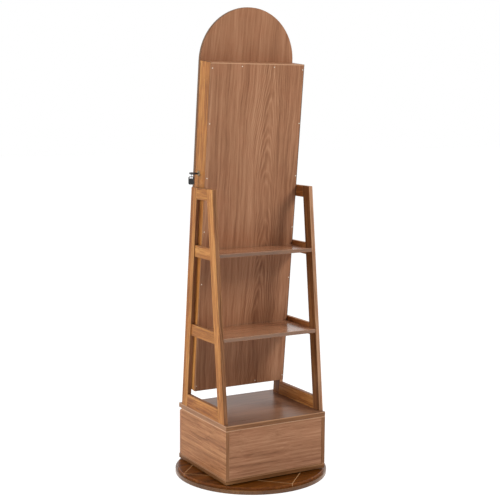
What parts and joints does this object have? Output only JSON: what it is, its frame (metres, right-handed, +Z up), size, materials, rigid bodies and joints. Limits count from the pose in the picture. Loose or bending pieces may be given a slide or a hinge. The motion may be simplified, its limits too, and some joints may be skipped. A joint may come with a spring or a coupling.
{
  "type": "rotating jewelry armoire",
  "caption": "Swivelling floor armoire: leaning jewelry case with arched mirror door, shelves between A-frames, and a drawer cabinet on a round turntable base.",
  "frame": {"origin": "on the floor under the centre of the round base", "axes": "+Z up, +X to the right of someone facing the mirror, mirror towards -Y"},
  "size_m": [0.4999, 0.5, 1.5118],
  "materials": {
    "walnut": "satin lacquer",
    "disc_veneer": "gloss lacquer",
    "plinth_edge": "satin lacquer",
    "inlay_maple": "satin lacquer",
    "dowel_beech": "raw",
    "drawer_ply": "matte lacquer",
    "pad_rubber": "matte",
    "steel": "zinc plated",
    "chrome": "polished",
    "brass": "polished",
    "cage_nylon": "matte",
    "black_plastic": "fine texture",
    "black_velvet": "velvet",
    "ring_velvet": "velvet",
    "mirror_glass": "silvered, bevelled"
  },
  "bodies": {
    "base": {"plinth": "plinth_edge", "veneered_disc": "disc_veneer", "disc_inlay": "inlay_maple", "floor_pads": "pad_rubber", "bearing_lower_race": "steel", "lower_race_screws": "steel"},
    "bearing_cage": {"bearing_cage": "cage_nylon", "bearing_balls": "steel"},
    "stand": {"bearing_upper_race": "steel", "upper_race_screws": "steel", "cabinet_bottom": "walnut", "cabinet_top": "walnut", "cabinet_back": "walnut", "cabinet_sides": "walnut", "cabinet_runners": "steel", "frame_dowels": "dowel_beech", "front_leg_left": "walnut", "front_leg_right": "walnut", "back_leg_left": "walnut", "back_leg_right": "walnut", "foot_rails": "walnut", "middle_rails": "walnut", "head_rails": "walnut", "upper_shelf": "walnut", "lower_shelf": "walnut", "shelf_dowels": "dowel_beech", "case_bolts": "steel", "case_side_left": "walnut", "case_side_right": "walnut", "case_top": "walnut", "case_bottom": "walnut", "case_back_panel": "walnut", "case_lining": "black_velvet", "inner_shelves": "walnut", "guard_rails": "brass", "ring_rolls": "ring_velvet", "hook_rail": "walnut", "necklace_hooks": "brass", "earring_panel": "walnut", "hinge_case_leaves": "chrome", "hinge_pins": "steel", "lock_barrel": "chrome", "lock_nut": "steel"},
    "door": {"door_panel": "walnut", "mirror": "mirror_glass", "hinge_door_leaves": "chrome", "door_strike": "steel"},
    "drawer": {"drawer_front": "walnut", "drawer_back": "drawer_ply", "drawer_bottom": "drawer_ply", "drawer_sides": "drawer_ply", "drawer_runners": "steel"},
    "key_lock": {"lock_plug": "chrome", "lock_cam": "steel", "key_blade": "steel", "key_bow": "black_plastic"},
    "spare_key": {"key_ring": "chrome", "spare_key_bow": "black_plastic", "spare_key_blade": "steel"}
  },
  "joints": [
    {"name": "turntable_spin", "type": "hinge", "parent": "base", "child": "stand", "pos_m": [0, 0, 0.0195], "axis": [0, 0, 1], "continuous": true},
    {"name": "bearing_roll", "type": "hinge", "parent": "base", "child": "bearing_cage", "pos_m": [0, 0, 0.0195], "axis": [0, 0, 1], "continuous": true},
    {"name": "door_swing", "type": "hinge", "parent": "stand", "child": "door", "pos_m": [-0.1732, -0.09274, 0.80973], "axis": [0, -0.1063, -0.9943], "range_deg": [0, 110]},
    {"name": "drawer_slide", "type": "slide", "parent": "stand", "child": "drawer", "axis": [0, -1, 0], "range_m": [0, 0.2]},
    {"name": "key_turn", "type": "hinge", "parent": "stand", "child": "key_lock", "pos_m": [0.1726, -0.04705, 0.98788], "axis": [1, 0, 0], "range_deg": [0, 90]},
    {"name": "spare_key_swing", "type": "hinge", "parent": "key_lock", "child": "spare_key", "pos_m": [0.19326, -0.05411, 0.98334], "axis": [-0.866, 0.5, 0], "range_deg": [-35, 35]}
  ],
  "couplings": [
    {"joint": "bearing_roll", "follows": "turntable_spin", "ratio": 0.5}
  ]
}
